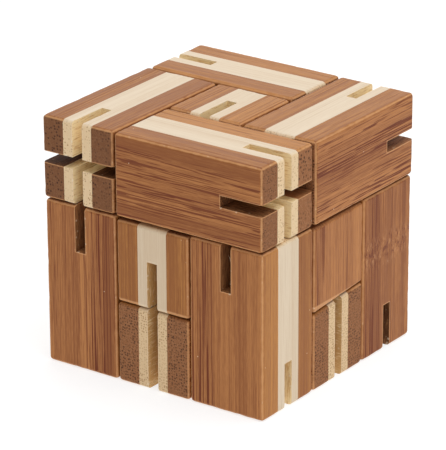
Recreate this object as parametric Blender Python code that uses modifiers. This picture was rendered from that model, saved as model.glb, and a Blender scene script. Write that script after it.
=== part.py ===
"""Strung bamboo block cube: eighteen laminated blocks in a 3 x 3 x 3 cube, held by five elastic cords.

Every block is glued up from two dark outer plies and one light core ply. A saw kerf in the end of a
block lets its cord swing out of the bore, so a block can be pulled off its neighbour and turned.
The cube stands on z = 0 with its centre line on the Z axis: -Y is the front and +X the right side.
"""

import math
from dataclasses import dataclass

import bmesh
import bpy
from mathutils import Matrix, Vector

# Driving dimensions, in metres
SECTION = 0.020  # side of the square section that every block has
BLOCK_GAP = 0.0003  # clearance between neighbouring blocks
OVERHANG = 0.0003  # how far each beam of the top layer stands proud of the posts below it
SHORT_TRIM = 0.0005  # how much shorter the front upper cube is sawn than its cell
CORE_PLY = 0.0080  # thickness of the light core ply
GLUE_LINE = 0.0001  # joint between two plies
EDGE_CHAMFER = 0.0006  # broken edge all round each block
CORD_DIAMETER = 0.0020  # elastic cord
KERF_CLEARANCE = 0.0004  # on each side of the cord in a saw kerf
KERF_PAST_CORD = 0.0002  # how far a kerf runs past the cord that lies at its bottom
BORE_CLEARANCE = 0.0006  # round the cord in its bore
KNOT_DIAMETER = 0.0044  # knot at each end of a cord
KNOT_LENGTH = 0.0032
KNOT_CLEARANCE = 0.0006  # round the knot in its counterbore, and in front of it
CORD_BEND = 0.0016  # radius of the cord's centre line where it turns into a kerf

# Worked out from them
PITCH = SECTION + BLOCK_GAP
KERF_WIDTH = CORD_DIAMETER + 2 * KERF_CLEARANCE
KERF_PAST_CENTRE = CORD_DIAMETER / 2 + KERF_PAST_CORD
BORE_DIAMETER = CORD_DIAMETER + 2 * BORE_CLEARANCE
COUNTERBORE_DIAMETER = KNOT_DIAMETER + 2 * KNOT_CLEARANCE
COUNTERBORE_DEPTH = KNOT_LENGTH + 2 * KNOT_CLEARANCE
OUTER_PLY = (SECTION - CORE_PLY) / 2 - GLUE_LINE

BORE_SIDES = 8
COUNTERBORE_SIDES = 10
BEND_STEPS = 3  # straight pieces in each turn of a cord
CUT_MARGIN = 0.001  # how far a cutter runs past the face that it opens

DARK_BAMBOO = (0.36, 0.15, 0.065)
LIGHT_BAMBOO = (0.74, 0.60, 0.38)
CORD_RUBBER = (0.030, 0.026, 0.024)

X, Y, Z = Vector((1, 0, 0)), Vector((0, 1, 0)), Vector((0, 0, 1))
SIDE_NAMES = {(0, -1): "left", (0, 1): "right", (1, -1): "front", (1, 1): "back"}

# What is cut into an end: a knot's counterbore, a kerf in the plane of the core ply,
# a kerf across all three plies, or both kerfs crossing.
KNOT, IN_PLY, ACROSS, CROSSED = "knot", "in_ply", "across", "crossed"


@dataclass
class Block:
    """One laminated block. Its head is the end named by heading, in the cell given."""

    name: str
    head_cell: tuple  # cell indices 0 to 2 along X, Y and Z
    heading: Vector  # the way the head end faces, along the grain
    plies_along: Vector  # the way the plies are stacked
    cells: int
    head_cut: str
    tail_cut: str
    held_by: str = ""  # the block that its cord pulls it against
    shift: Vector = Vector((0, 0, 0))
    trim: float = 0.0  # taken off its tail end


# The core post comes first, and every other block is listed after the one that holds it.
BLOCKS = (
    Block("core_post", (1, 1, 1), Z, Y, 2, ACROSS, IN_PLY),
    Block("right_front_post", (2, 0, 1), Z, Y, 2, ACROSS, IN_PLY, "core_post"),
    Block("left_front_post", (0, 0, 1), Z, Y, 2, ACROSS, KNOT, "core_post"),
    Block("right_back_post", (2, 2, 1), Z, X, 2, IN_PLY, ACROSS, "core_post"),
    Block("left_back_post", (0, 2, 1), Z, Y, 2, IN_PLY, ACROSS, "core_post"),
    Block("front_top_beam", (2, 0, 2), X, Y, 2, CROSSED, KNOT, "right_front_post", -OVERHANG * Y),
    Block("left_top_beam", (0, 0, 2), -Y, X, 2, CROSSED, KNOT, "left_front_post", -OVERHANG * X),
    Block("back_top_beam", (0, 2, 2), -X, Y, 2, CROSSED, KNOT, "left_back_post", OVERHANG * Y),
    Block("right_top_beam", (2, 2, 2), Y, X, 2, CROSSED, KNOT, "right_back_post", OVERHANG * X),
    Block("top_centre_cube", (1, 1, 2), -Y, X, 1, IN_PLY, KNOT, "core_post"),
    Block("front_foot_cube", (1, 0, 0), -Y, X, 1, IN_PLY, ACROSS, "right_front_post"),
    Block("back_foot_cube", (1, 2, 0), Y, X, 1, IN_PLY, ACROSS, "right_back_post"),
    Block("left_foot_cube", (0, 1, 0), -X, Y, 1, IN_PLY, ACROSS, "left_back_post"),
    Block("right_foot_cube", (2, 1, 0), X, Y, 1, IN_PLY, ACROSS, "core_post"),
    Block("front_upper_cube", (1, 0, 1), -Z, X, 1, IN_PLY, KNOT, "front_foot_cube", trim=SHORT_TRIM),
    Block("back_upper_cube", (1, 2, 1), -Z, X, 1, IN_PLY, KNOT, "back_foot_cube"),
    Block("left_upper_cube", (0, 1, 1), -Z, Y, 1, IN_PLY, KNOT, "left_foot_cube"),
    Block("right_upper_cube", (2, 1, 1), -Z, X, 1, IN_PLY, KNOT, "right_foot_cube"),
)
BLOCK_BY_NAME = {block.name: block for block in BLOCKS}

# Each cord runs from the knot in its first block to the knot in its last one.
CORDS = {
    "front_cord": ("front_top_beam", "right_front_post", "front_foot_cube", "front_upper_cube"),
    "back_cord": ("right_top_beam", "right_back_post", "back_foot_cube", "back_upper_cube"),
    "left_cord": ("back_top_beam", "left_back_post", "left_foot_cube", "left_upper_cube"),
    "core_cord": ("top_centre_cube", "core_post", "right_foot_cube", "right_upper_cube"),
    "corner_cord": ("left_top_beam", "left_front_post"),
}


def clear_scene():
    for obj in list(bpy.data.objects):
        bpy.data.objects.remove(obj)


def new_collection(name, hidden=False):
    collection = bpy.data.collections.new(name)
    collection.hide_render = hidden
    bpy.context.scene.collection.children.link(collection)
    return collection


def new_material(name, color, roughness):
    material = bpy.data.materials.new(name)
    material.use_nodes = True
    shader = material.node_tree.nodes["Principled BSDF"]
    shader.inputs["Base Color"].default_value = (*color, 1)
    shader.inputs["Roughness"].default_value = roughness
    shader.inputs["Metallic"].default_value = 0
    return material


def new_object(name, data, collection, parent):
    obj = bpy.data.objects.new(name, data)
    collection.objects.link(obj)
    obj.parent = parent
    return obj


def box_mesh(name, size):
    """A box centred on its origin, with size as its three sides."""
    mesh = bpy.data.meshes.new(name)
    bm = bmesh.new()
    bmesh.ops.create_cube(bm, size=1)
    bmesh.ops.scale(bm, vec=size, verts=bm.verts)
    bm.to_mesh(mesh)
    bm.free()
    return mesh


def rod_mesh(name, diameter, length, sides):
    """A solid rod along its own X axis, centred on its origin."""
    mesh = bpy.data.meshes.new(name)
    bm = bmesh.new()
    turn = Matrix.Rotation(math.pi / 2, 4, "Y") @ Matrix.Rotation(math.pi / sides, 4, "Z")
    radius = diameter / 2
    bmesh.ops.create_cone(
        bm, cap_ends=True, segments=sides, radius1=radius, radius2=radius, depth=length, matrix=turn
    )
    bm.to_mesh(mesh)
    bm.free()
    return mesh


# A block's own frame: X runs along the grain to the head, Y through the plies, and the origin is
# the centre of the block before any trim.


def cell_centre(cell):
    return Vector(((cell[0] - 1) * PITCH, (cell[1] - 1) * PITCH, SECTION / 2 + cell[2] * PITCH))


def head_centre(block):
    """The middle of the block's head cell, where its cord turns."""
    return cell_centre(block.head_cell) + block.shift


def half_length(block):
    return (block.cells * PITCH - BLOCK_GAP) / 2


def tail_centre(block):
    return head_centre(block) - block.heading * (block.cells - 1) * PITCH


def block_centre(block):
    return (head_centre(block) + tail_centre(block)) / 2


def block_matrix(block):
    """The block's own frame in the world."""
    across = block.heading.cross(block.plies_along)
    turn = Matrix((block.heading, block.plies_along, across)).transposed()
    return Matrix.Translation(block_centre(block)) @ turn.to_4x4()


def tail_face(block):
    """Where the tail end's face lies along the block's own X axis."""
    return block.trim - half_length(block)


def ply_spans(block):
    """(name, lowest and highest own Y) of each ply, from the side that -Y faces to the other."""
    axis = next(i for i in range(3) if block.plies_along[i])
    low, high = SIDE_NAMES[axis, -1], SIDE_NAMES[axis, 1]
    outer = SECTION / 2
    yield f"{low}_ply", -outer, OUTER_PLY - outer
    yield "core_ply", -CORE_PLY / 2, CORE_PLY / 2
    yield f"{high}_ply", outer - OUTER_PLY, outer


def mark_broken_edges(mesh, low_is_outer, high_is_outer):
    """Marks for bevelling every edge but those along a glued face."""
    weights = mesh.attributes.new("bevel_weight_edge", "FLOAT", "EDGE")
    for edge in mesh.edges:
        y = [mesh.vertices[v].co.y for v in edge.vertices]
        runs_through = y[0] * y[1] < 0
        on_outer_face = high_is_outer if y[0] > 0 else low_is_outer
        weights.data[edge.index].value = 1.0 if runs_through or on_outer_face else 0.0


def kerf_cutter(block, end, kind, collection, parent):
    """A saw blade's box, from past the end's face to just past the centre of the end cell."""
    bottom = half_length(block) - SECTION / 2 - KERF_PAST_CENTRE
    outside = half_length(block) + CUT_MARGIN
    wide = SECTION + 2 * CUT_MARGIN
    across = (KERF_WIDTH, wide) if kind == IN_PLY else (wide, KERF_WIDTH)
    name = f"{block.name}_{'head' if end > 0 else 'tail'}_{kind}_kerf"
    cutter = new_object(name, box_mesh(name, (outside - bottom, *across)), collection, parent)
    cutter.location.x = end * (outside + bottom) / 2
    return cutter


def rod_cutter(block, what, diameter, start, end, sides, collection, parent):
    name = f"{block.name}_{what}"
    cutter = new_object(name, rod_mesh(name, diameter, end - start, sides), collection, parent)
    cutter.location.x = (start + end) / 2
    return cutter


def block_cutters(block, collection, parent):
    """The cutters that only reach the core ply, and those that reach all three plies."""
    core_only, all_plies = [], []
    for end, cut in ((1, block.head_cut), (-1, block.tail_cut)):
        if cut in (IN_PLY, CROSSED):
            core_only.append(kerf_cutter(block, end, IN_PLY, collection, parent))
        if cut in (ACROSS, CROSSED):
            all_plies.append(kerf_cutter(block, end, ACROSS, collection, parent))
    turn = half_length(block) - SECTION / 2
    if block.tail_cut == KNOT:
        face = tail_face(block)
        shoulder = face + COUNTERBORE_DEPTH
        core_only.append(
            rod_cutter(block, "bore", BORE_DIAMETER, face - CUT_MARGIN, turn, BORE_SIDES, collection, parent)
        )
        core_only.append(
            rod_cutter(
                block, "counterbore", COUNTERBORE_DIAMETER, face - CUT_MARGIN, shoulder, COUNTERBORE_SIDES,
                collection, parent,
            )
        )
    elif block.cells > 1:
        core_only.append(
            rod_cutter(block, "bore", BORE_DIAMETER, -turn, turn, BORE_SIDES, collection, parent)
        )
    for cutter in core_only + all_plies:
        cutter.display_type = "WIRE"
        cutter.hide_render = True
    return core_only, all_plies


def add_ply(block, side, low, high, cutters, material, collection, parent):
    name = f"{block.name}_{side}"
    start, end = tail_face(block), half_length(block)
    mesh = box_mesh(name, (end - start, high - low, SECTION))
    is_outer = side != "core_ply"
    mark_broken_edges(mesh, low_is_outer=is_outer and low < 0, high_is_outer=is_outer and high > 0)
    mesh.materials.append(material)
    ply = new_object(name, mesh, collection, parent)
    ply.location = ((start + end) / 2, (low + high) / 2, 0)
    bevel = ply.modifiers.new("broken_edges", "BEVEL")
    bevel.limit_method = "WEIGHT"
    bevel.width = min(EDGE_CHAMFER, OUTER_PLY / 3)
    bevel.segments = 1
    for cutter in cutters:
        cut = ply.modifiers.new(cutter.name, "BOOLEAN")
        cut.operation = "DIFFERENCE"
        cut.object = cutter


def add_block(block, frames, materials, parts, cutters):
    """An empty at the block's centre, with the block's three plies and its cutters on it."""
    frame = new_object(f"{block.name}_frame", None, parts, frames.get(block.held_by))
    frame.empty_display_size = SECTION / 2
    world = block_matrix(block)
    if block.held_by:
        frame.matrix_local = block_matrix(BLOCK_BY_NAME[block.held_by]).inverted() @ world
    else:
        frame.matrix_local = world
    frames[block.name] = frame
    core_only, all_plies = block_cutters(block, cutters, frame)
    for side, low, high in ply_spans(block):
        is_core = side == "core_ply"
        material = materials["light_bamboo"] if is_core else materials["dark_bamboo"]
        ply_cutters = all_plies + core_only if is_core else all_plies
        add_ply(block, side, low, high, ply_cutters, material, parts, frame)


def knot_seat(block):
    """The outer end of the knot in a block's tail."""
    return block_centre(block) + block.heading * (tail_face(block) + KNOT_CLEARANCE)


def cord_stops(names):
    """The corners of a cord's route: knot, cell centres in turn, and knot."""
    first, *others = (BLOCK_BY_NAME[name] for name in names)
    stops = [knot_seat(first), head_centre(first)]
    for block in others:
        stops.append(head_centre(block))
        if block.tail_cut == KNOT:
            stops.append(knot_seat(block))
        elif block.cells > 1:
            stops.append(tail_centre(block))
    return stops


def with_round_turns(stops):
    """The route with each corner of 90 degrees made an arc of the cord's bend radius."""
    points = [stops[0]]
    for before, corner, after in zip(stops, stops[1:], stops[2:]):
        back = (before - corner).normalized()
        on = (after - corner).normalized()
        if abs(back.dot(on)) > 0.5:
            points.append(corner)
            continue
        centre = corner + (back + on) * CORD_BEND
        for step in range(BEND_STEPS + 1):
            angle = step / BEND_STEPS * math.pi / 2
            points.append(centre - on * CORD_BEND * math.cos(angle) - back * CORD_BEND * math.sin(angle))
    points.append(stops[-1])
    return points


def knot_rings(end, inward):
    """(point, radius) round the knot, from its outer end to where the plain cord starts."""
    full, plain = KNOT_DIAMETER / 2, CORD_DIAMETER / 2
    middle = (full + plain) / 2
    for share, radius in ((0, plain), (0.12, middle), (0.3, full), (0.7, full), (0.88, middle), (1, plain)):
        yield end + inward * KNOT_LENGTH * share, radius


def add_cord(name, names, material, collection, parent):
    """A knotted cord as one tube whose radius swells at each knot."""
    points = with_round_turns(cord_stops(names))
    first = list(knot_rings(points[0], (points[1] - points[0]).normalized()))
    last = list(knot_rings(points[-1], (points[-2] - points[-1]).normalized()))
    rings = first + [(point, CORD_DIAMETER / 2) for point in points[1:-1]] + last[::-1]
    curve = bpy.data.curves.new(name, "CURVE")
    curve.dimensions = "3D"
    curve.bevel_depth = 1.0
    curve.bevel_resolution = 2
    curve.use_fill_caps = True
    curve.materials.append(material)
    spline = curve.splines.new("POLY")
    spline.points.add(len(rings) - 1)
    origin = block_centre(BLOCK_BY_NAME[names[1]])
    for spot, (point, radius) in zip(spline.points, rings):
        spot.co = (*(point - origin), 1)
        spot.radius = radius
    cord = new_object(name, curve, collection, parent)
    turn = block_matrix(BLOCK_BY_NAME[names[1]]).to_3x3().inverted()
    cord.matrix_local = turn.to_4x4()


def main():
    clear_scene()
    parts = new_collection("strung_block_cube")
    cutters = new_collection("cutters", hidden=True)
    materials = {
        "dark_bamboo": new_material("dark_bamboo", DARK_BAMBOO, 0.5),
        "light_bamboo": new_material("light_bamboo", LIGHT_BAMBOO, 0.5),
        "cord_rubber": new_material("cord_rubber", CORD_RUBBER, 0.7),
    }
    frames = {}
    for block in BLOCKS:
        add_block(block, frames, materials, parts, cutters)
    for name, names in CORDS.items():
        add_cord(name, names, materials["cord_rubber"], parts, frames[names[1]])


main()
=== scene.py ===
"""Looks of the strung bamboo block cube: eighteen three-ply blocks, their splinters and five elastic cords.

Lengths inside the shaders and the block shapes are in millimetres of a block's own frame, whose X
runs along the grain, Y through the plies and Z across them.
"""

import math
from collections import namedtuple

import bmesh
import bpy
from mathutils import Matrix, Vector, noise


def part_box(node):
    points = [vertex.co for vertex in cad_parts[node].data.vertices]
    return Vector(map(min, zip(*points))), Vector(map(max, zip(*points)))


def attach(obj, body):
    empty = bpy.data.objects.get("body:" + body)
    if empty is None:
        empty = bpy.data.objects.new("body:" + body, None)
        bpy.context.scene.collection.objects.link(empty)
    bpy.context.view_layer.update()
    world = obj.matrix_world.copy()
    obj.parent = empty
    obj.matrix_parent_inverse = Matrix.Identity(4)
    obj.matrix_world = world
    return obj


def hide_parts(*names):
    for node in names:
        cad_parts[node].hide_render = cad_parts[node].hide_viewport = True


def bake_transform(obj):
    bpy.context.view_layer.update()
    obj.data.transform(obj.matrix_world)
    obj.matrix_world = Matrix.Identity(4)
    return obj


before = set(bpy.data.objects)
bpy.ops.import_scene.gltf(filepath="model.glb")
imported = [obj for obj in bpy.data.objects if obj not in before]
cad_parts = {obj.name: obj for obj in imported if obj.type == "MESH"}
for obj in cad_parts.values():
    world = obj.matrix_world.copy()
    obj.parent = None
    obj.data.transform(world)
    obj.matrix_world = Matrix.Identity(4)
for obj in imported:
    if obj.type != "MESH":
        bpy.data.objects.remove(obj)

bl_info = {
    "name": "Strung Bamboo Block Cube",
    "version": (1, 0, 0),
    "blender": (4, 5, 0),
    "location": "3D View > Sidebar > Block Cube",
    "description": "Builds the laminated bamboo blocks, elastic cords and stage of a strung block cube",
    "category": "Object",
}

MM = 0.001
X, Y, Z = Vector((1, 0, 0)), Vector((0, 1, 0)), Vector((0, 0, 1))
FAR = 999.0  # stands for "nowhere on this block", in millimetres
HALF_CELL = 10.0  # half the side of one of the cube's cells, in millimetres
GLUE_LINE = 0.01  # two faces nearer than this are in one plane, in millimetres
SKIN = 1.0  # how deep the rounded edges reach into a block, in millimetres
CORD_BEND = 1.6 * MM  # radius at the middle of a cord where it turns
KNOT_GAP = 0.6 * MM  # from the face of a block in to its knot
MIDDLE = Vector((0, 0, 30 * MM))  # what the camera and the lights point at
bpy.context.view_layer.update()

# What is cut into an end: a knot's counterbore, a kerf in the plane of the core ply,
# a kerf across all three plies, or both kerfs crossing.
KNOT, IN_PLY, ACROSS, CROSSED = "knot", "in_ply", "across", "crossed"

# A block's name, the way its head faces, the way its plies are stacked, and the cuts in head and tail.
Block = namedtuple("Block", "name grain stack head tail")
POSTS = (
    Block("core_post", Z, Y, ACROSS, IN_PLY),
    Block("right_front_post", Z, Y, ACROSS, IN_PLY),
    Block("left_front_post", Z, Y, ACROSS, KNOT),
    Block("right_back_post", Z, X, IN_PLY, ACROSS),
    Block("left_back_post", Z, Y, IN_PLY, ACROSS),
)
TOP_BEAMS = (
    Block("front_top_beam", X, Y, CROSSED, KNOT),
    Block("left_top_beam", -Y, X, CROSSED, KNOT),
    Block("back_top_beam", -X, Y, CROSSED, KNOT),
    Block("right_top_beam", Y, X, CROSSED, KNOT),
)
CUBES = (
    Block("top_centre_cube", -Y, X, IN_PLY, KNOT),
    Block("front_foot_cube", -Y, X, IN_PLY, ACROSS),
    Block("back_foot_cube", Y, X, IN_PLY, ACROSS),
    Block("left_foot_cube", -X, Y, IN_PLY, ACROSS),
    Block("right_foot_cube", X, Y, IN_PLY, ACROSS),
    Block("front_upper_cube", -Z, X, IN_PLY, KNOT),
    Block("back_upper_cube", -Z, X, IN_PLY, KNOT),
    Block("left_upper_cube", -Z, Y, IN_PLY, KNOT),
    Block("right_upper_cube", -Z, X, IN_PLY, KNOT),
)
BLOCKS = {block.name: block for block in POSTS + TOP_BEAMS + CUBES}

# Each cord runs through these blocks, from the knot in the first to the knot in the last.
CORDS = {
    "front_cord": ("front_top_beam", "right_front_post", "front_foot_cube", "front_upper_cube"),
    "back_cord": ("right_top_beam", "right_back_post", "back_foot_cube", "back_upper_cube"),
    "left_cord": ("back_top_beam", "left_back_post", "left_foot_cube", "left_upper_cube"),
    "core_cord": ("top_centre_cube", "core_post", "right_foot_cube", "right_upper_cube"),
    "corner_cord": ("left_top_beam", "left_front_post"),
}

# Character of a ply: tone from -1 dark to 1 pale, how strongly it is streaked, where a bamboo
# node crosses it along X, where along Z its vessels crowd into a dark stripe, and how closely
# the vessels stand in its end grain.
Character = namedtuple(
    "Character", "tone streaked knuckle crowded crowding", defaults=(0.5, FAR, FAR, 1.0))
DEEP, PALE = Character(-0.8), Character(0.8)

# The plies with a character of their own. Every other ply gets one from the noise.
PLY_CHARACTER = {
    "front_top_beam_front_ply": Character(-0.3, 1.2, crowding=1.3),
    "front_top_beam_core_ply": PALE,
    "front_top_beam_back_ply": Character(0.8, 0.8, crowding=0.75),
    "left_top_beam_left_ply": Character(-1.0, 0.7, crowding=0.9),
    "left_top_beam_core_ply": PALE,
    "left_top_beam_right_ply": Character(-1.0, 0.7, crowding=0.9),
    "back_top_beam_core_ply": PALE,
    "right_top_beam_core_ply": PALE,
    "right_top_beam_right_ply": Character(0.4, 1.4, crowded=-2.0),
    "top_centre_cube_core_ply": PALE,
    "left_front_post_front_ply": Character(0.4, 0.6, crowded=-7.0),
    "right_front_post_front_ply": Character(0.45, 0.35, crowded=6.5),
    "right_front_post_back_ply": DEEP,
    "right_back_post_right_ply": Character(-0.6, knuckle=5.5, crowded=-6.0),
    "front_upper_cube_left_ply": Character(-0.2, 0.8),
    "front_upper_cube_core_ply": DEEP,
    "front_upper_cube_right_ply": Character(-0.5, 0.8),
    "right_upper_cube_right_ply": Character(0.45, 0.3, crowded=9.0),
    "front_foot_cube_core_ply": DEEP,
    "right_foot_cube_core_ply": DEEP,
}

# Blocks that sit low or are sawn out of square: the lift of the bottom face and of the top face at
# the block's middle, and how much more at its +X or +Y end, all in millimetres.
SETTLED = {
    "front_foot_cube": ((0.0, 0.0), (-0.5, 0.0)),
    "front_upper_cube": ((-0.5, 0.0), (0.0, 0.0)),
    "right_foot_cube": ((0.0, 0.0), (-0.5, 0.7)),
    "right_upper_cube": ((-0.5, 0.7), (-0.4, 0.1)),
}


class BlockCubeSizes(bpy.types.PropertyGroup):
    """Sizes of the cuts, edges and cords."""

    kerf_width: bpy.props.FloatProperty(
        name="Kerf width", description="Width of a saw kerf", default=2.8 * MM, unit="LENGTH")
    kerf_depth: bpy.props.FloatProperty(
        name="Kerf depth", description="Depth of a saw kerf from its end", default=11.2 * MM, unit="LENGTH")
    edge_round: bpy.props.FloatProperty(
        name="Edge round", description="Radius of the sanded edges", default=0.85 * MM, unit="LENGTH")
    edge_wear: bpy.props.FloatProperty(
        name="Edge wear", description="Deepest dent in a sanded edge", default=0.07 * MM, unit="LENGTH")
    bore: bpy.props.FloatProperty(
        name="Bore", description="Diameter of the cord's bore", default=3.2 * MM, unit="LENGTH")
    counterbore: bpy.props.FloatProperty(
        name="Counterbore", description="Diameter of the knot's seat", default=5.6 * MM, unit="LENGTH")
    counterbore_depth: bpy.props.FloatProperty(
        name="Counterbore depth", description="Depth of the knot's seat", default=4.4 * MM, unit="LENGTH")
    cord_radius: bpy.props.FloatProperty(
        name="Cord radius", description="Radius of the braided elastic", default=1.0 * MM, unit="LENGTH")
    knot_radius: bpy.props.FloatProperty(
        name="Knot radius", description="Outer radius of a knot", default=2.2 * MM, unit="LENGTH")
    knot_length: bpy.props.FloatProperty(
        name="Knot length", description="Length of a knot along the cord", default=3.2 * MM, unit="LENGTH")


class BlockCubeFinish(bpy.types.PropertyGroup):
    """Colours of the bamboo and the elastic."""

    dark_pale: bpy.props.FloatVectorProperty(
        name="Dark ply, pale fibre", description="Palest fibre of the steamed outer plies",
        default=(0.520, 0.215, 0.066), subtype="COLOR")
    dark_deep: bpy.props.FloatVectorProperty(
        name="Dark ply, deep fibre", description="Deepest body colour of the outer plies",
        default=(0.270, 0.086, 0.022), subtype="COLOR")
    dark_streak: bpy.props.FloatVectorProperty(
        name="Dark ply, streaks", description="Vessel streaks of the outer plies",
        default=(0.130, 0.016, 0.003), subtype="COLOR")
    # Pale sanded fibre on the edges, and also painted highlight along the rounded edges and kerf mouths.
    dark_worn_and_highlight: bpy.props.FloatVectorProperty(
        name="Dark ply, worn edge", description="Sanded-through edges of the outer plies",
        default=(0.720, 0.370, 0.160), subtype="COLOR")
    dark_end: bpy.props.FloatVectorProperty(
        name="Dark ply, end grain", description="End grain of the outer plies",
        default=(0.290, 0.115, 0.043), subtype="COLOR")
    dark_end_dot: bpy.props.FloatVectorProperty(
        name="Dark ply, end vessels", description="Vessels in the end grain of the outer plies",
        default=(0.040, 0.012, 0.006), subtype="COLOR")
    dark_sawn: bpy.props.FloatVectorProperty(
        name="Dark ply, sawn", description="Kerf walls in the outer plies",
        default=(0.360, 0.150, 0.055), subtype="COLOR")
    light_pale: bpy.props.FloatVectorProperty(
        name="Light ply, pale fibre", description="Palest fibre of the core ply",
        default=(0.765, 0.630, 0.465), subtype="COLOR")
    light_deep: bpy.props.FloatVectorProperty(
        name="Light ply, deep fibre", description="Deepest body colour of the core ply",
        default=(0.680, 0.520, 0.352), subtype="COLOR")
    light_streak: bpy.props.FloatVectorProperty(
        name="Light ply, streaks", description="Vessel streaks of the core ply",
        default=(0.500, 0.320, 0.165), subtype="COLOR")
    light_end: bpy.props.FloatVectorProperty(
        name="Light ply, end grain", description="End grain of the core ply",
        default=(0.780, 0.570, 0.340), subtype="COLOR")
    light_end_dot: bpy.props.FloatVectorProperty(
        name="Light ply, end vessels", description="Vessels in the end grain of the core ply",
        default=(0.360, 0.185, 0.075), subtype="COLOR")
    # Raised above the core's own fibre colour: the real colour of fresh-cut core plus painted light that
    # stands in for the light reaching into the kerfs.
    light_sawn_painted_bright: bpy.props.FloatVectorProperty(
        name="Light ply, sawn", description="Kerf walls in the core ply",
        default=(0.950, 0.760, 0.450), subtype="COLOR")
    cord: bpy.props.FloatVectorProperty(
        name="Cord", description="Braided cover of the elastic",
        default=(0.030, 0.026, 0.024), subtype="COLOR")


class BlockCubeStage(bpy.types.PropertyGroup):
    """Camera and lights."""

    azimuth: bpy.props.FloatProperty(
        name="Azimuth", description="Camera's angle to the right of the front",
        default=math.radians(35.56), subtype="ANGLE")
    elevation: bpy.props.FloatProperty(
        name="Elevation", description="Camera's angle above the floor",
        default=math.radians(21.80), subtype="ANGLE")
    roll: bpy.props.FloatProperty(
        name="Roll", description="Camera's tilt about its own axis",
        default=math.radians(-0.26), subtype="ANGLE")
    distance: bpy.props.FloatProperty(
        name="Distance", description="From the camera to the middle of the cube",
        default=0.7623, unit="LENGTH")
    aim_right: bpy.props.FloatProperty(
        name="Aim right", description="Aim to the right of the middle",
        default=-1.62 * MM, unit="LENGTH")
    aim_up: bpy.props.FloatProperty(
        name="Aim up", description="Aim above the middle", default=0.62 * MM, unit="LENGTH")
    lens: bpy.props.FloatProperty(
        name="Lens", description="Focal length in millimetres", default=263.3, unit="CAMERA")
    sky: bpy.props.FloatProperty(
        name="Sky", description="Strength of the even light from all round", default=0.50)
    key: bpy.props.FloatProperty(
        name="Key", description="Power of the soft box above, in watts", default=3.5, unit="POWER")


# Shader nodes


class Term:
    """A socket in a material; arithmetic on it adds Math nodes."""

    def __init__(self, recipe, socket):
        self.recipe = recipe
        self.socket = socket

    def math(self, operation, *terms):
        sockets = {index: term for index, term in enumerate(terms)}
        return self.recipe.add("ShaderNodeMath", {"operation": operation}, sockets)

    def __add__(self, other):
        return self.math("ADD", self, other)

    __radd__ = __add__

    def __sub__(self, other):
        return self.math("SUBTRACT", self, other)

    def __rsub__(self, other):
        return self.math("SUBTRACT", other, self)

    def __mul__(self, other):
        return self.math("MULTIPLY", self, other)

    __rmul__ = __mul__

    def __abs__(self):
        return self.math("ABSOLUTE", self)

    def __floor__(self):
        return self.math("FLOOR", self)


class Recipe:
    """A new material's node tree, and the ways to add to it."""

    def __init__(self, name):
        self.material = bpy.data.materials.new(name)
        self.material.use_nodes = True
        self.tree = self.material.node_tree
        self.shader = self.tree.nodes["Principled BSDF"]

    def add(self, kind, settings=None, sockets=None, output=0):
        """Adds a node, sets it up and fills or links its sockets. Returns one of its outputs."""
        node = self.tree.nodes.new(kind)
        for name, value in (settings or {}).items():
            setattr(node, name, value)
        self.fill(node, sockets or {})
        return Term(self, node.outputs[output])

    def fill(self, node, sockets):
        """Links or sets the node's sockets, by name or by number."""
        for name, value in sockets.items():
            socket = node.inputs[name]
            if isinstance(value, Term):
                self.tree.links.new(value.socket, socket)
            else:
                socket.default_value = value

    def split(self, vector):
        """The X, Y and Z of a vector."""
        first = self.add("ShaderNodeSeparateXYZ", sockets={"Vector": vector})
        return [Term(self, socket) for socket in first.socket.node.outputs]

    def join(self, x, y, z):
        return self.add("ShaderNodeCombineXYZ", sockets={"X": x, "Y": y, "Z": z})

    def read(self, attribute, output="Vector"):
        return self.add("ShaderNodeAttribute", {"attribute_name": attribute}, output=output)

    def step(self, value, start, end):
        """Rises smoothly from 0 at start to 1 at end, or falls where end is below start."""
        if end < start:
            return 1 - self.step(value, end, start)
        return self.add(
            "ShaderNodeMapRange", {"interpolation_type": "SMOOTHSTEP"},
            {"Value": value, "From Min": start, "From Max": end})

    def cloud(self, vector, scale, detail=2.0, roughness=0.5):
        """Noise from 0 to 1 at a place."""
        return self.add(
            "ShaderNodeTexNoise", None,
            {"Vector": vector, "Scale": scale, "Detail": detail, "Roughness": roughness})

    def grains(self, vector, scale, scatter=1.0):
        """How far a place is from the nearest of many scattered points."""
        return self.add(
            "ShaderNodeTexVoronoi", None, {"Vector": vector, "Scale": scale, "Randomness": scatter})

    def mix(self, share, first, second):
        """A colour between two."""
        node = self.tree.nodes.new("ShaderNodeMix")
        node.data_type = "RGBA"
        wanted = {"Factor_Float": share, "A_Color": first, "B_Color": second}
        by_name = {socket.identifier: index for index, socket in enumerate(node.inputs)}
        filled = {}
        for name, value in wanted.items():
            is_colour = name != "Factor_Float" and not isinstance(value, Term)
            filled[by_name[name]] = (*value, 1) if is_colour else value
        self.fill(node, filled)
        return Term(self, next(socket for socket in node.outputs if socket.identifier == "Result_Color"))

    def lowest(self, first, *others):
        for other in others:
            first = first.math("MINIMUM", first, other)
        return first

    def highest(self, first, *others):
        for other in others:
            first = first.math("MAXIMUM", first, other)
        return first

    def middle(self, first, second, third):
        """The middle of three values."""
        upper = self.highest(first, second)
        return self.highest(self.lowest(first, second), self.lowest(upper, third))

    def bump(self, height, strength, distance):
        return self.add(
            "ShaderNodeBump", None, {"Height": height, "Strength": strength, "Distance": distance})


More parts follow.
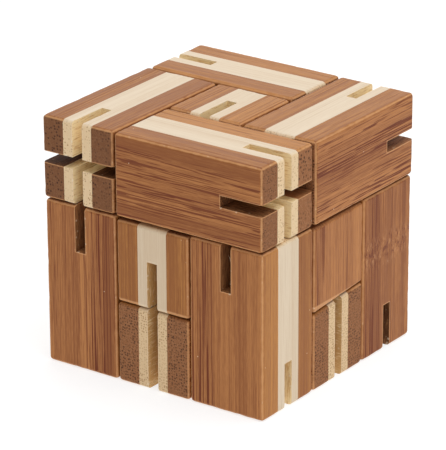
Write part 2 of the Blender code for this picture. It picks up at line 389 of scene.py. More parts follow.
def bamboo_material(name, look, kerf_half):
    """Bamboo with vessels as long thin bodies along the grain: streaks on sides, dots on ends."""
    recipe = Recipe(name)
    place = recipe.add("ShaderNodeTexCoord", output="Object")
    x, y, z = (axis * 1000 for axis in recipe.split(place))
    seed, tone, streaked = recipe.split(recipe.read("lot"))
    half_x, half_z, _ = recipe.split(recipe.read("reach"))
    knuckle, crowded, crowding = recipe.split(recipe.read("growth"))
    on_end, on_flat, sawn = recipe.split(recipe.read("facing"))

    # A bamboo node crosses the ply as a mottled band, where the fibres swirl.
    band = 1 - recipe.step(abs(x - knuckle), 1.0, 5.5)
    swirl = recipe.cloud(recipe.join(x * 0.5, y * 0.5, z * 0.5), 1.0, 3.0) - 0.5
    drift = recipe.cloud(recipe.join(x * 0.018, y * 0.10, z * 0.10 + seed), 1.0, 1.0) - 0.5
    y_fibre = y + drift * 0.3 + swirl * band * 1.0 + seed
    z_fibre = z + drift * 0.3 + swirl * band * 1.3 + seed

    # A ply is glued up from strips side by side, each with a tone of its own.
    strip = recipe.add(
        "ShaderNodeTexWhiteNoise", {"noise_dimensions": "1D"},
        {"W": math.floor(z * 0.152 + seed * 1.37)}, output="Value")
    broad = recipe.cloud(recipe.join(x * 0.006, y_fibre * 0.24, z_fibre * 0.24), 1.0, 2.0)
    fine = recipe.cloud(recipe.join(x * 0.006, y_fibre, z_fibre), 1.9, 3.0, 0.62)
    hair = recipe.cloud(recipe.join(x * 0.06, y_fibre, z_fibre), 6.0, 2.0, 0.6)

    # Streaks: long lines that crowd into stripes, and short dashes between them.
    stripe = recipe.step(abs(z_fibre - seed - crowded), 4.5, 0.5)
    bunches = recipe.cloud(recipe.join(x * 0.010, y_fibre * 0.2, z_fibre * 0.2 + 9.0), 1.0, 2.0)
    crowd = recipe.step(bunches + stripe * 0.14, 0.46, 0.62)
    thread = recipe.cloud(recipe.join(x * 0.007, y_fibre, z_fibre + 5.0), 2.9, 1.0, 0.5)
    lines = recipe.step(thread + stripe * 0.03, 0.56, 0.60) * (0.24 + crowd * 0.50 + stripe * 0.75)
    vessel = recipe.cloud(recipe.join(x * 0.028, y_fibre, z_fibre + 21.0), 3.0, 1.0, 0.5)
    dashes = recipe.step(vessel, 0.55, 0.62) * recipe.step(broad, 0.36, 0.54) * streaked
    streak = recipe.step(dashes * 0.85 + lines, 0.0, 1.0) * (0.75 + strip * 0.35)

    # The body between the streaks is calmer on a ply's sides than on its flat.
    shade = fine * 0.70 + broad * 0.60 + hair * 0.45 + tone * 0.12 + strip * 0.14 - stripe * 0.15
    body = recipe.step(shade, 0.69, 1.21)
    colour = recipe.mix(body, look["deep"], look["pale"])
    side_share = (1 - on_flat) * look["side_calm"]
    side = recipe.mix(0.25 + body * 0.75, look["deep"], look["side"])
    colour = recipe.mix(side_share, colour, side)
    colour = recipe.mix(streak * (1 - side_share * 0.75) * look["streak_share"], colour, look["streak"])
    mottle = recipe.cloud(recipe.join(x * 0.35, y_fibre * 0.8, z_fibre * 0.8), 1.3, 3.0, 0.65)
    colour = recipe.mix(band * recipe.step(mottle, 0.50, 0.66) * 0.35, colour, look["worn_and_highlight"])
    colour = recipe.mix(band * recipe.step(mottle, 0.46, 0.34) * 0.75, colour, look["streak"])

    # End grain: a soft ground with a dot for each vessel, fainter where they are sparse.
    end_place = recipe.join(x * 0.02, (y + seed) * crowding, z * crowding)
    dot = recipe.step(recipe.grains(end_place, look["dot_pitch"], 0.62), look["dot_size"], 0.22)
    ground = recipe.cloud(recipe.join(x * 0.1, y + seed, z), 3.2, 3.0, 0.7)
    patches = recipe.cloud(recipe.join(x * 0.02, y * 0.25 + seed, z * 0.16), 1.0, 1.0)
    dense = recipe.step(patches, 0.64, 0.42)
    end = recipe.mix(recipe.step(ground, 0.46, 0.64) * 0.55, look["end"], look["end_fleck"])
    end = recipe.mix(recipe.step(tone, 0.3, -1.0) * 0.50, end, look["end_low"])
    end = recipe.mix(dot * (0.45 + dense * 0.55) * look["dot_share"], end, look["end_dot"])
    colour = recipe.mix(on_end, colour, end)

    # Kerf and bore walls show torn fibre and the blade's marks.
    torn = recipe.cloud(recipe.join(x * 0.16, y * 1.4 + seed, z * 1.4), 2.4, 4.0, 0.7)
    rough_cut = recipe.mix(
        recipe.step(torn + tone * 0.12, 0.38, 0.62), look["sawn_deep"], look["sawn"])
    colour = recipe.mix(sawn, colour, rough_cut)

    # How far a place is from the block's nearest face, from its nearest edge and from a kerf.
    depths = (half_x - abs(x), look["half_section"] - abs(y), half_z - abs(z))
    skin, edge = recipe.lowest(*depths), recipe.middle(*depths)
    kerfs = []
    for cuts, off_centre in (("across", abs(z)), ("in_ply", abs(y))):
        head_start, tail_start, _ = recipe.split(recipe.read(cuts))
        along = recipe.lowest(head_start - x, x - tail_start)
        kerfs.append(recipe.highest(off_centre - kerf_half, along))
    kerf = recipe.lowest(*kerfs)

    # Sanded edges and the mouths of the kerfs are worn through to paler fibre, unevenly; the same pale band
    # is also painted highlight where the rounded edges and kerf mouths catch the light.
    ragged = recipe.cloud(recipe.join(x * 0.5, y * 0.5 + seed, z * 0.5), 1.2, 3.0, 0.6)
    mouth = recipe.step(kerf + ragged * 0.25, 0.42, 0.20)
    rubbed_and_highlit_edge = recipe.step(edge + ragged * 0.35, 0.80, 0.44)
    worn_and_highlight = recipe.highest(mouth, rubbed_and_highlit_edge) * (1 - sawn)
    colour = recipe.mix(worn_and_highlight * look["worn_and_highlight_share"], colour, look["worn_and_highlight"])

    # Chips sit along the edges, and on sawn walls near the skin. Flecks sit anywhere.
    near_edge = recipe.step(recipe.lowest(edge, abs(kerf)), 0.42, 0.20)
    near_skin = recipe.step(skin, 1.6, 0.3)
    chipped = near_edge + (near_skin - near_edge) * sawn
    scattered = recipe.join(x, y + seed, z)
    chip = recipe.step(recipe.grains(scattered, 0.7), 0.24, 0.14) * chipped
    speck = recipe.step(recipe.grains(scattered, 0.20), 0.036, 0.018) * (1 - sawn)
    fleck = recipe.highest(speck, chip * 0.8)
    colour = recipe.mix(fleck * 0.7, colour, look["fleck"])

    relief = (
        hair * 0.35 + fine * 0.5 - streak * 0.35 * (1 - on_end) - dot * on_end * 0.4
        + torn * sawn * 1.2 + fleck * 0.6
    )
    gloss = 0.50 + on_end * 0.22 + sawn * 0.25 - worn_and_highlight * 0.06 + (fine - 0.5) * 0.25 + streak * 0.08
    recipe.fill(recipe.shader, {
        "Base Color": colour,
        "Roughness": gloss,
        "Specular IOR Level": 0.22,
        "Normal": recipe.bump(relief, 0.45, 0.00012),
    })
    return recipe.material


def cord_material(finish):
    """Elastic with a braided cover: the mesh has the braid, and this adds the fibres of its yarn and paints
    the raised strands pale and the dips between them dark, as painted highlight and painted shade.
    """
    recipe = Recipe("elastic_cord")
    place = recipe.add("ShaderNodeTexCoord", output="Object")
    x, y, z = (axis * 1000 for axis in recipe.split(place))
    lift = recipe.read("yarn", "Fac")
    fibre = recipe.cloud(recipe.join(x, y, z), 6.0, 4.0, 0.7)
    dark = tuple(value * 0.35 for value in finish.cord)
    pale = tuple(min(1, value * 2.6 + 0.02) for value in finish.cord)
    # Painted highlight on the raised strands and painted shade in the dips between them, from each point's
    # lift.
    colour = recipe.mix(recipe.step(lift * 0.8 + fibre * 0.4, 0.15, 1.0), dark, pale)
    recipe.fill(recipe.shader, {
        "Base Color": colour,
        "Roughness": 0.72 + fibre * 0.2,
        "Normal": recipe.bump(fibre, 0.5, 0.0001),
    })
    return recipe.material


def floor_material():
    """Pale even board with a trace of tooth."""
    recipe = Recipe("pale_board")
    place = recipe.add("ShaderNodeTexCoord", output="Object")
    tooth = recipe.cloud(place, 90.0, 3.0)
    colour = recipe.mix(tooth, (0.40, 0.40, 0.40), (0.43, 0.43, 0.43))
    recipe.fill(recipe.shader, {
        "Base Color": colour,
        "Roughness": 0.9,
        "Specular IOR Level": 0.1,
        "Emission Color": (1, 1, 1, 1),
        "Emission Strength": 0.70,
    })
    return recipe.material


def dark_look(finish):
    """The steamed outer plies. Half section is how far the block's edges are from its middle in Y."""
    return {
        "half_section": HALF_CELL,
        "pale": finish.dark_pale,
        "deep": finish.dark_deep,
        "side": tuple(value * share for value, share in zip(finish.dark_pale, (1.02, 1.08, 0.74))),
        "side_calm": 0.60,
        "streak": finish.dark_streak,
        "streak_share": 0.85,
        # Worn edge colour, and also painted highlight on the rounded edges and kerf mouths.
        "worn_and_highlight": finish.dark_worn_and_highlight,
        "worn_and_highlight_share": 0.65,
        "fleck": (0.80, 0.62, 0.42),
        "end": finish.dark_end,
        "end_fleck": (0.440, 0.215, 0.100),
        "end_low": (0.100, 0.038, 0.016),
        "end_dot": finish.dark_end_dot,
        "dot_pitch": 1.45,
        "dot_size": 0.42,
        "dot_share": 0.76,
        "sawn": finish.dark_sawn,
        "sawn_deep": (0.120, 0.042, 0.013),
    }


def light_look(finish):
    """The core ply, whose sides in Y are glued and so have no edges."""
    return {
        "half_section": HALF_CELL * 3,
        "pale": finish.light_pale,
        "deep": finish.light_deep,
        "side": finish.light_pale,
        "side_calm": 0.0,
        "streak": finish.light_streak,
        "streak_share": 0.22,
        # Worn edge colour, and also painted highlight on the rounded edges and kerf mouths.
        "worn_and_highlight": (0.86, 0.70, 0.50),
        "worn_and_highlight_share": 0.30,
        "fleck": (0.90, 0.80, 0.62),
        "end": finish.light_end,
        "end_fleck": (0.82, 0.66, 0.42),
        "end_low": (0.68, 0.47, 0.26),
        "end_dot": finish.light_end_dot,
        "dot_pitch": 1.60,
        "dot_size": 0.42,
        "dot_share": 0.72,
        "sawn": finish.light_sawn_painted_bright,
        # Kerf walls of the core, brightened with painted light.
        "sawn_deep": (0.66, 0.40, 0.16),
    }


def shared_material(name, make, *facts):
    """The material of that name, made on first use."""
    found = bpy.data.materials.get(name + "_finish")
    if found is None:
        found = make(*facts)
        found.name = name + "_finish"
    return found


def bamboo_of(scene, name, look_of):
    look = look_of(scene.block_cube_finish)
    kerf_half = scene.block_cube_sizes.kerf_width / MM / 2
    return shared_material(name, bamboo_material, name, look, kerf_half)


# Meshes


def finished_mesh(name, mesh):
    """A bmesh as mesh data, and the bmesh freed."""
    data = bpy.data.meshes.new(name)
    mesh.to_mesh(data)
    mesh.free()
    return data


def add_object(name, data):
    obj = bpy.data.objects.new(name, data)
    bpy.context.scene.collection.objects.link(obj)
    return obj


def loose_object(name, mesh):
    """A bmesh in millimetres as an object in metres."""
    bmesh.ops.scale(mesh, vec=(MM, MM, MM), verts=mesh.verts)
    return add_object(name, finished_mesh(name, mesh))


def set_attribute(data, name, kind, domain, values):
    attribute = data.attributes.new(name, kind, domain)
    key = "value" if kind == "FLOAT" else "vector"
    attribute.data.foreach_set(key, values)


def note(data, name, x, y, z=0.0):
    """Three numbers for the finish to read, the same on every point of a mesh."""
    set_attribute(data, name, "FLOAT_VECTOR", "POINT", [x, y, z] * len(data.vertices))


# Blocks


def ply_nodes(block):
    """The block's three CAD plies, from its own lowest Y to its highest."""
    start = block.name + "_"
    names = [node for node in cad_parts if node.startswith(start) and node.endswith("_ply")]
    return sorted(names, key=lambda node: sum(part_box(node), Vector()).dot(block.stack))


def turn_of(block):
    return Matrix((block.grain, block.stack, block.grain.cross(block.stack))).transposed()


def block_box(block):
    """Lowest and highest corner of the block at rest, in metres."""
    corners = [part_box(node) for node in ply_nodes(block)]
    low = Vector(min(corner[0][i] for corner in corners) for i in range(3))
    high = Vector(max(corner[1][i] for corner in corners) for i in range(3))
    return low, high


def local_box(low, high, to_local):
    """A world box's lowest and highest corner in a block's own frame, in millimetres."""
    ends = [to_local @ low / MM, to_local @ high / MM]
    return Vector(map(min, *ends)), Vector(map(max, *ends))


def add_box(mesh, low, high):
    made = bmesh.ops.create_cube(mesh, size=1)["verts"]
    bmesh.ops.scale(mesh, vec=high - low, verts=made)
    bmesh.ops.translate(mesh, vec=(low + high) / 2, verts=made)
    return made


def in_fixed_order(mesh):
    """The same mesh with its corners and faces in an order that every run repeats."""
    corners = sorted(mesh.verts, key=lambda vertex: [round(value, 4) for value in vertex.co])
    order = {vertex: index for index, vertex in enumerate(corners)}
    outlines = []
    for face in mesh.faces:
        outline = [order[vertex] for vertex in face.verts]
        first = outline.index(min(outline))
        outlines.append(outline[first:] + outline[:first])
    fixed = bmesh.new()
    made = [fixed.verts.new([round(value, 4) for value in vertex.co]) for vertex in corners]
    for outline in sorted(outlines):
        fixed.faces.new([made[index] for index in outline])
    fixed.normal_update()
    mesh.free()
    return fixed


def slice_along(mesh, axis, start, end, spacing, keep):
    """Cuts the faces that keep allows into lengths along an axis."""
    count = max(1, round((end - start) / spacing))
    normal = Vector(i == axis for i in range(3))
    for index in range(1, count):
        point = normal * (start + (end - start) * index / count)
        faces = [face for face in mesh.faces if keep(face)]
        edges = dict.fromkeys(edge for face in faces for edge in face.edges)
        vertices = dict.fromkeys(vertex for edge in edges for vertex in edge.verts)
        bmesh.ops.bisect_plane(mesh, geom=[*vertices, *edges, *faces], plane_co=point, plane_no=normal)


def ply_blank(low, high, half, radius, wear, seed):
    """A ply before its kerfs: rounded and a little dented along the edges that it shows."""
    bevel_steps, dent_spacing = 3, 1.3
    mesh = bmesh.new()
    add_box(mesh, low, high)
    outer = [abs(low.y + half.y) < GLUE_LINE, abs(high.y - half.y) < GLUE_LINE]

    def is_outside(edge):
        y = [vertex.co.y for vertex in edge.verts]
        if abs(y[0] - y[1]) > 0.1:
            return True
        return outer[1] if y[0] > (low.y + high.y) / 2 else outer[0]

    bmesh.ops.bevel(
        mesh, geom=[edge for edge in mesh.edges if is_outside(edge)], offset=radius,
        segments=bevel_steps, profile=0.5, affect="EDGES", clamp_overlap=True)
    mesh = in_fixed_order(mesh)

    def is_rounded(face):
        return sum(0.02 < abs(value) < 0.98 for value in face.normal) > 1

    for axis in (0, 2, 1):
        slice_along(mesh, axis, low[axis], high[axis], dent_spacing, is_rounded)
    for vertex in mesh.verts:
        place = vertex.co.copy()
        broad = noise.noise(place * 0.55 + Vector((seed, 0, 0)))
        small = noise.noise(place * 1.6 + Vector((0, seed, 0)))
        dent = max(0.0, broad + small) * wear
        for axis in range(3):
            depth = half[axis] - abs(place[axis])
            if 0.005 < depth < radius - 0.005:
                vertex.co[axis] -= math.copysign(dent, place[axis])
    return mesh


def kerf_tool(end, kind, half, sizes):
    """The room that a saw blade leaves in one end, with slightly uneven walls."""
    width, depth = sizes.kerf_width / MM, sizes.kerf_depth / MM
    overshoot, wall_spacing, unevenness = 2, 2.1, 0.07
    wide = half.y + overshoot
    y_reach, z_reach = (width / 2, wide) if kind == IN_PLY else (wide, width / 2)
    start, stop = sorted((end * (half.x - depth), end * (half.x + overshoot)))
    low, high = Vector((start, -y_reach, -z_reach)), Vector((stop, y_reach, z_reach))
    mesh = bmesh.new()
    add_box(mesh, low, high)
    for axis in range(3):
        if high[axis] - low[axis] > width + 1:
            slice_along(mesh, axis, low[axis], high[axis], wall_spacing, lambda face: True)
    thin = 1 if kind == IN_PLY else 2
    for vertex in mesh.verts:
        vertex.co[thin] += noise.noise(vertex.co * 0.7) * unevenness
    return mesh


def rod_tool(radius, start, end, sides):
    mesh = bmesh.new()
    middle = Matrix.Translation(Vector(((start + end) / 2, 0, 0)))
    bmesh.ops.create_cone(
        mesh, cap_ends=True, segments=sides, radius1=radius, radius2=radius, depth=end - start,
        matrix=middle @ Matrix.Rotation(math.pi / 2, 4, "Y"))
    return mesh


def is_long(half):
    """Whether a block is two cells long, from its half sizes in millimetres."""
    return half.x > HALF_CELL * 1.1


def block_tools(block, half, sizes):
    """Tools that only reach the core ply, and those that go through all three plies."""
    core_only, all_plies = [], []
    for end, cut in ((1, block.head), (-1, block.tail)):
        if cut in (IN_PLY, CROSSED):
            core_only.append(loose_object("tool", kerf_tool(end, IN_PLY, half, sizes)))
        if cut in (ACROSS, CROSSED):
            all_plies.append(loose_object("tool", kerf_tool(end, ACROSS, half, sizes)))
    turn = half.x - HALF_CELL
    bore = sizes.bore / MM / 2
    if block.tail == KNOT:
        outside = -half.x - 1
        seat = sizes.counterbore_depth / MM - half.x
        core_only.append(loose_object("tool", rod_tool(bore, outside, turn, 24)))
        core_only.append(loose_object("tool", rod_tool(sizes.counterbore / MM / 2, outside, seat, 32)))
    elif is_long(half):
        core_only.append(loose_object("tool", rod_tool(bore, -turn, turn, 24)))
    return core_only, all_plies


def cut_with(obj, tools):
    """The object's mesh with every tool's room taken out."""
    for tool in tools:
        cut = obj.modifiers.new("cut", "BOOLEAN")
        cut.operation = "DIFFERENCE"
        cut.object = tool
    graph = bpy.context.evaluated_depsgraph_get()
    cut_mesh = bpy.data.meshes.new_from_object(obj.evaluated_get(graph))
    obj.modifiers.clear()
    obj.data = cut_mesh


def settle(data, block, world):
    """Moves the block's bottom and top faces, and what lies between them in proportion."""
    if block.name not in SETTLED:
        return
    (bottom, bottom_slope), (top, top_slope) = SETTLED[block.name]
    centre = world.translation
    sideways = Y if abs(centre.x) > abs(centre.y) else X
    to_local = world.inverted()
    for vertex in data.vertices:
        place = world @ vertex.co
        offset = (place - centre) / (HALF_CELL * MM)
        share = offset.z / 2 + 0.5
        reach = offset.dot(sideways)
        lift = (1 - share) * (bottom + bottom_slope * reach) + share * (top + top_slope * reach)
        vertex.co = to_local @ (place + Z * lift * MM)


def describe_faces(data, half, low, high):
    """Notes for the finish: whether a face is end grain, flat of the ply, or sawn."""
    facts = []
    for face in data.polygons:
        centre, normal = face.center / MM, face.normal

        def is_skin(axis):
            faces_out = abs(normal[axis]) > 0.3 and normal[axis] * centre[axis] > 0
            return faces_out and half[axis] - abs(centre[axis]) < SKIN

        shown = any(is_skin(axis) for axis in range(3))
        glued = abs(normal.y) > 0.9 and min(centre.y - low.y, high.y - centre.y) < GLUE_LINE
        sawn = 0.0 if shown or glued else 1.0
        on_end = min(1.0, max(0.0, (abs(normal.x) - 0.55) * 4)) * (1 - sawn)
        facts += [on_end, abs(normal.y), sawn]
    set_attribute(data, "facing", "FLOAT_VECTOR", "FACE", facts)


def character_of(node, seed, index):
    """The ply's character from the table, or else one of its own from the noise."""
    if node in PLY_CHARACTER:
        return PLY_CHARACTER[node]
    return Character(
        tone=noise.noise(Vector((seed, index * 7.3, 0.5))) * 0.9,
        streaked=0.55 + 0.5 * abs(noise.noise(Vector((index * 3.1, seed, 2.5)))),
        crowded=noise.noise(Vector((4.4, index * 5.7, seed))) * 16,
    )


def describe_ply(data, block, half, sizes, seed, character):
    """Notes for the finish: the ply's character, the block's reach and where its kerfs start."""
    note(data, "lot", seed, character.tone, character.streaked)
    note(data, "growth", character.knuckle, character.crowded, character.crowding)
    note(data, "reach", half.x, half.z)
    start = half.x - sizes.kerf_depth / MM
    for cuts, kinds in (("across", (ACROSS, CROSSED)), ("in_ply", (IN_PLY, CROSSED))):
        note(data, cuts, start if block.head in kinds else FAR, -start if block.tail in kinds else -FAR)


def add_ply(block, node, index, half, world, tools, materials, sizes):
    to_local = world.inverted()
    low, high = local_box(*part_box(node), to_local)
    low.x, high.x, low.z, high.z = -half.x, half.x, -half.z, half.z
    core_low, core_high = local_box(*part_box(ply_nodes(block)[1]), to_local)
    is_core = index == 1
    if index == 0:
        high.y = core_low.y
    elif index == 2:
        low.y = core_high.y
    seed = noise.noise(world.translation / MM * 0.37) * 60
    mesh = ply_blank(low, high, half, sizes.edge_round / MM, sizes.edge_wear / MM, seed)
    obj = loose_object(f"{node}_bamboo", mesh)
    core_only, all_plies = tools
    cut_with(obj, all_plies + core_only if is_core else all_plies)
    describe_faces(obj.data, half, low, high)
    settle(obj.data, block, world)
    describe_ply(obj.data, block, half, sizes, seed + index * 41.7, character_of(node, seed, index))
    obj.data.materials.clear()
    obj.data.materials.append(materials["light" if is_core else "dark"])
    obj.data.shade_smooth()
    obj.data.set_sharp_from_angle(angle=math.radians(40))
    weighted = obj.modifiers.new("even_shading", "WEIGHTED_NORMAL")
    weighted.keep_sharp = True
    obj.matrix_world = world
    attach(obj, block.name)
    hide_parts(node)


def add_block(scene, block):
    sizes = scene.block_cube_sizes
    materials = {
        "dark": bamboo_of(scene, "dark_bamboo", dark_look),
        "light": bamboo_of(scene, "light_bamboo", light_look),
    }
    low, high = block_box(block)
    turn = turn_of(block)
    world = Matrix.Translation((low + high) / 2) @ turn.to_4x4()
    half = Vector(map(abs, turn.inverted() @ (high - low) / MM / 2))
    tools = block_tools(block, half, sizes)
    nodes = ply_nodes(block)
    if len(nodes) != 3:
        raise RuntimeError(f"{block.name} has {len(nodes)} plies, not 3")
    for index, node in enumerate(nodes):
        add_ply(block, node, index, half, world, tools, materials, sizes)
    for tool in tools[0] + tools[1]:
        bpy.data.objects.remove(tool)


# Cords


def head_and_tail(block):
    """The middle of the block's head cell and of its tail cell, and the middle of its tail's face."""
    low, high = block_box(block)
    centre = (low + high) / 2
    reach = abs((high - low).dot(block.grain)) / 2
    head = centre + block.grain * (reach - HALF_CELL * MM)
    tail = centre - block.grain * (reach - HALF_CELL * MM)
    if not is_long(Vector((reach / MM, 0, 0))):
        head = tail = centre
    return head, tail, centre - block.grain * reach


def stepped(points, pitch):
    """The same path with a point about every pitch."""
    path = []
    for start, end in zip(points, points[1:]):
        steps = max(1, round((end - start).length / pitch))
        path += [start.lerp(end, step / steps) for step in range(steps)]
    return path + [points[-1]]


def braid(name, points, radius):
    """A closed tube along points whose wall has the crossing strands of a braided cover."""
    spokes, strands, strand_turn, relief = 16, 4, 1.1 * MM, 0.06
    path = stepped(points, 0.28 * MM)
    mesh = bmesh.new()
    rings, lifts = [], []
    normal = (path[1] - path[0]).orthogonal().normalized()
    travelled = 0.0
    for index, point in enumerate(path):
        before, after = path[max(0, index - 1)], path[min(len(path) - 1, index + 1)]
        along = (after - before).normalized()
        normal = (normal - along * normal.dot(along)).normalized()
        other = along.cross(normal)
        travelled += (point - before).length
        wave = travelled / strand_turn * math.pi
        ring = []
        for spoke in range(spokes):
            angle = spoke / spokes * math.tau
            strand = abs(math.sin(angle * strands + wave)) - abs(math.sin(angle * strands - wave))
            lift = 0.5 + 0.5 * strand
            reach = radius * (1 - relief + relief * lift)
            ring.append(mesh.verts.new(point + (normal * math.cos(angle) + other * math.sin(angle)) * reach))
            lifts.append(lift)
        rings.append(ring)
    for low, high in zip(rings, rings[1:]):
        for spoke in range(spokes):
            after = (spoke + 1) % spokes
            mesh.faces.new((low[spoke], low[after], high[after], high[spoke]))
    mesh.faces.new(rings[0][::-1])
    mesh.faces.new(rings[-1])
    data = finished_mesh(name, mesh)
    # Each point's lift, which the cord's finish paints as highlight on raised strands and as shade in the
    # dips.
    set_attribute(data, "yarn", "FLOAT", "POINT", lifts)
    data.shade_smooth()
    return add_object(name, data)


def knot_path(seat, grain, sizes):
    """An overhand knot drawn tight, from its outer end towards the bore."""
    radius, steps = 0.62 * MM, 96
    spread = (sizes.knot_radius - radius * 1.1) / 3
    height = sizes.knot_length / 2 - radius * 1.2
    side = grain.orthogonal().normalized()
    other = grain.cross(side)
    centre = seat + grain * sizes.knot_length / 2
    points = []
    for step in range(steps + 1):
        t = step / steps * math.tau
        u = (math.sin(t) + 2 * math.sin(2 * t)) * spread
        v = (math.cos(t) - 2 * math.cos(2 * t)) * spread
        points.append(centre + side * u + other * v - grain * math.sin(3 * t) * height)
    return points, radius


def add_knot(name, block, material, sizes):
    face = head_and_tail(block)[2]
    points, radius = knot_path(face + block.grain * KNOT_GAP, block.grain, sizes)
    knot = braid(name, points, radius)
    knot.data.materials.append(material)
    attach(knot, block.name)


def add_run(name, block, start, end, material, sizes):
    """A straight stretch inside one block."""
    run = braid(name, [start, end], sizes.cord_radius)
    run.data.materials.append(material)
    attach(run, block.name)
    return run


def round_turn(before, corner, after):
    """The points of an arc from one straight to the next, or just the corner where they line up."""
    back, on = (before - corner).normalized(), (after - corner).normalized()
    if abs(back.dot(on)) > 0.5:
        return [corner]
    centre = corner + (back + on) * CORD_BEND
    steps = 8
    angles = [step / steps * math.pi / 2 for step in range(steps + 1)]
    return [centre - (on * math.cos(angle) + back * math.sin(angle)) * CORD_BEND for angle in angles]


def cord_stops(blocks, sizes):
    """Each block with the places where the cord starts and ends its straight way through it."""
    stops = []
    for index, block in enumerate(blocks):
        head, tail, face = head_and_tail(block)
        knot_end = face + block.grain * (KNOT_GAP + sizes.knot_length * 0.7)
        if index == 0:
            stops.append((block, knot_end, head))
        elif block.tail == KNOT:
            stops.append((block, head, knot_end))
        else:
            stops.append((block, head, tail))
    return stops


def link_points(enters, leaves, arrives, goes):
    """The cord's way from the end of one block's straight to the start of the next one's."""
    points = [leaves]
    if (leaves - enters).length > MM:
        turn = round_turn(enters, leaves, arrives)
        straight = [leaves - (leaves - enters).normalized() * CORD_BEND, leaves]
        points = turn if len(turn) > 1 else straight
    if (goes - arrives).length < MM:
        return points + [arrives]
    turn = round_turn(leaves, arrives, goes)
    straight = [arrives, arrives + (goes - arrives).normalized() * CORD_BEND]
    return points + (turn if len(turn) > 1 else straight)


def add_cord(scene, name):
    sizes = scene.block_cube_sizes
    material = shared_material("elastic_cord", cord_material, scene.block_cube_finish)
    stops = cord_stops([BLOCKS[block] for block in CORDS[name]], sizes)
    for index, (block, enters, leaves) in enumerate(stops):
        if (leaves - enters).length < MM:
            continue
        turn = (leaves - enters).normalized() * CORD_BEND
        start = enters if index == 0 else enters + turn
        end = leaves if index == len(stops) - 1 else leaves - turn
        add_run(f"{name}_{block.name}_run", block, start, end, material, sizes)
    for (block, enters, leaves), (after, arrives, goes) in zip(stops, stops[1:]):
        points = link_points(enters, leaves, arrives, goes)
        link = braid(f"{name}_{block.name}_to_{after.name}", points, sizes.cord_radius)
        link.data.materials.append(material)
        middle = (leaves + arrives) / 2
        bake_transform(link)
    for block, _, _ in (stops[0], stops[-1]):
        add_knot(f"{name}_{block.name}_knot", block, material, sizes)
    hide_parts(name)


# Splinters


def add_splinter(name, block, root, heading, curl, length, width, material):
    """A torn fibre: a flat tapering sliver that curls away from the wood."""
    steps = 8
    mesh = bmesh.new()
    across = heading.cross(curl).normalized()
    previous = None
    for step in range(steps + 1):
        share = step / steps
        point = root + heading * length * share + curl * length * 0.35 * share * share
        reach = across * width * (1 - share) ** 0.7 / 2
        thick = curl * width * 0.25 * (1 - share * 0.8)
        row = [mesh.verts.new(point + offset) for offset in (reach, thick, -reach, -thick)]
        if previous:
            for index in range(4):
                after = (index + 1) % 4
                mesh.faces.new((previous[index], previous[after], row[after], row[index]))
        else:
            mesh.faces.new(row[::-1])
        previous = row
    mesh.faces.new(previous)
    bmesh.ops.recalc_face_normals(mesh, faces=mesh.faces)
    data = finished_mesh(name, mesh)
    note(data, "lot", 3.0, 0.8, 0.2)
    note(data, "growth", FAR, FAR, 1.0)
    note(data, "reach", FAR, FAR)
    note(data, "across", FAR, -FAR)
    note(data, "in_ply", FAR, -FAR)
    data.materials.append(material)
    data.shade_smooth()
    splinter = add_object(name, data)
    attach(splinter, block)


class BlockCubeMaker:
    """What every operator of this add-on shares."""

    bl_options = {"REGISTER", "UNDO"}


class BLOCKCUBE_OT_posts(BlockCubeMaker, bpy.types.Operator):
    """Add the five upright posts"""

    bl_idname = "blockcube.posts"
    bl_label = "Posts"

    def execute(self, context):
        for block in POSTS:
            add_block(context.scene, block)
        return {"FINISHED"}


class BLOCKCUBE_OT_top_beams(BlockCubeMaker, bpy.types.Operator):
    """Add the four long blocks of the top layer"""

    bl_idname = "blockcube.top_beams"
    bl_label = "Top beams"

    def execute(self, context):
        for block in TOP_BEAMS:
            add_block(context.scene, block)
        return {"FINISHED"}


class BLOCKCUBE_OT_cubes(BlockCubeMaker, bpy.types.Operator):
    """Add the nine single cubes"""

    bl_idname = "blockcube.cubes"
    bl_label = "Cubes"

    def execute(self, context):
        for block in CUBES:
            add_block(context.scene, block)
        return {"FINISHED"}


class BLOCKCUBE_OT_cords(BlockCubeMaker, bpy.types.Operator):
    """Add the five elastic cords with their knots"""

    bl_idname = "blockcube.cords"
    bl_label = "Cords"

    def execute(self, context):
        for name in CORDS:
            add_cord(context.scene, name)
        return {"FINISHED"}


class BLOCKCUBE_OT_splinters(BlockCubeMaker, bpy.types.Operator):
    """Add the two torn fibres at the mouth of the right front post's kerf"""

    bl_idname = "blockcube.splinters"
    bl_label = "Splinters"

    def execute(self, context):
        scene = context.scene
        material = bamboo_of(scene, "light_bamboo", light_look)
        low, high = block_box(BLOCKS["right_front_post"])
        wall = (low.x + high.x) / 2 + 1.45 * MM
        roots = (
            ("post_kerf_splinter", 0.25 * MM, 4.6 * MM, 2.4 * MM, 0.35 * MM),
            ("post_kerf_splinter_low", 0.3 * MM, 10.2 * MM, 1.5 * MM, 0.28 * MM),
        )
        for name, inwards, down, length, width in roots:
            root = Vector((wall, low.y + inwards, high.z - down))
            add_splinter(name, "right_front_post", root, Z, -X, length, width, material)
        return {"FINISHED"}


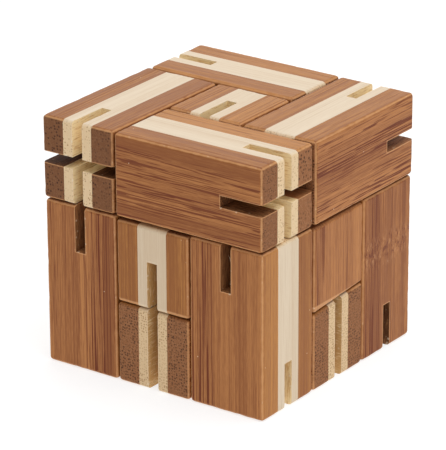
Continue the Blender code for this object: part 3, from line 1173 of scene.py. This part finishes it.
class BLOCKCUBE_OT_stage(BlockCubeMaker, bpy.types.Operator):
    """Add the pale board, the soft lights and the camera"""

    bl_idname = "blockcube.stage"
    bl_label = "Stage"

    def execute(self, context):
        scene = context.scene
        settings = scene.block_cube_stage
        self.add_board()
        self.add_lights(scene, settings)
        self.add_camera(scene, settings)
        scene.view_settings.view_transform = "Standard"
        return {"FINISHED"}

    def add_board(self):
        mesh = bmesh.new()
        bmesh.ops.create_grid(mesh, x_segments=8, y_segments=8, size=6)
        data = finished_mesh("pale_board", mesh)
        data.materials.append(floor_material())
        board = add_object("pale_board", data)
        board.location.z = -0.02 * MM

    def add_lights(self, scene, settings):
        world = bpy.data.worlds.new("soft_room")
        world.use_nodes = True
        background = world.node_tree.nodes["Background"]
        background.inputs["Color"].default_value = (1, 1, 1, 1)
        background.inputs["Strength"].default_value = settings.sky
        scene.world = world
        self.add_soft_box("soft_box_above", Vector((0.20, 0.0, 0.80)), 0.6, settings.key)
        self.add_soft_box("soft_box_right", Vector((0.85, -0.10, 0.30)), 0.5, settings.key * 0.12)
        self.add_soft_box("soft_box_back", Vector((-0.56, 0.78, 0.42)), 0.9, settings.key * 0.8)

    def add_soft_box(self, name, place, size, power):
        data = bpy.data.lights.new(name, "AREA")
        data.size = size
        data.energy = power
        lamp = add_object(name, data)
        lamp.location = place
        lamp.rotation_mode = "QUATERNION"
        lamp.rotation_quaternion = (MIDDLE - place).to_track_quat("-Z", "Y")

    def add_camera(self, scene, settings):
        azimuth, elevation = settings.azimuth, settings.elevation
        back = Vector((
            math.sin(azimuth) * math.cos(elevation),
            -math.cos(azimuth) * math.cos(elevation),
            math.sin(elevation),
        ))
        right = (-back).cross(Z).normalized()
        up = right.cross(-back)
        turned_right = right * math.cos(settings.roll) + up * math.sin(settings.roll)
        turned_up = up * math.cos(settings.roll) - right * math.sin(settings.roll)
        aim = MIDDLE + turned_right * settings.aim_right + turned_up * settings.aim_up
        data = bpy.data.cameras.new("camera")
        data.sensor_width = 36
        data.lens = settings.lens
        data.clip_start = 0.05
        camera = add_object("camera", data)
        facing = Matrix((turned_right, turned_up, back)).transposed()
        camera.matrix_world = Matrix.Translation(aim + back * settings.distance) @ facing.to_4x4()
        scene.camera = camera


OPERATORS = (
    BLOCKCUBE_OT_posts,
    BLOCKCUBE_OT_top_beams,
    BLOCKCUBE_OT_cubes,
    BLOCKCUBE_OT_cords,
    BLOCKCUBE_OT_splinters,
    BLOCKCUBE_OT_stage,
)


class BLOCKCUBE_PT_sidebar(bpy.types.Panel):
    """Lists the makers of the block cube"""

    bl_idname = "BLOCKCUBE_PT_sidebar"
    bl_label = "Block Cube"
    bl_space_type = "VIEW_3D"
    bl_region_type = "UI"
    bl_category = "Block Cube"

    def draw(self, context):
        for operator in OPERATORS:
            self.layout.operator(operator.bl_idname)


GROUPS = {
    "block_cube_sizes": BlockCubeSizes,
    "block_cube_finish": BlockCubeFinish,
    "block_cube_stage": BlockCubeStage,
}


def register():
    for kind in (*GROUPS.values(), *OPERATORS, BLOCKCUBE_PT_sidebar):
        bpy.utils.register_class(kind)
    for name, group in GROUPS.items():
        setattr(bpy.types.Scene, name, bpy.props.PointerProperty(type=group))


def unregister():
    for name in GROUPS:
        delattr(bpy.types.Scene, name)
    for kind in reversed((*GROUPS.values(), *OPERATORS, BLOCKCUBE_PT_sidebar)):
        bpy.utils.unregister_class(kind)


def main():
    register()
    bpy.ops.blockcube.posts()
    bpy.ops.blockcube.top_beams()
    bpy.ops.blockcube.cubes()
    bpy.ops.blockcube.cords()
    bpy.ops.blockcube.splinters()
    bpy.ops.blockcube.stage()


if __name__ == "__main__":
    main()
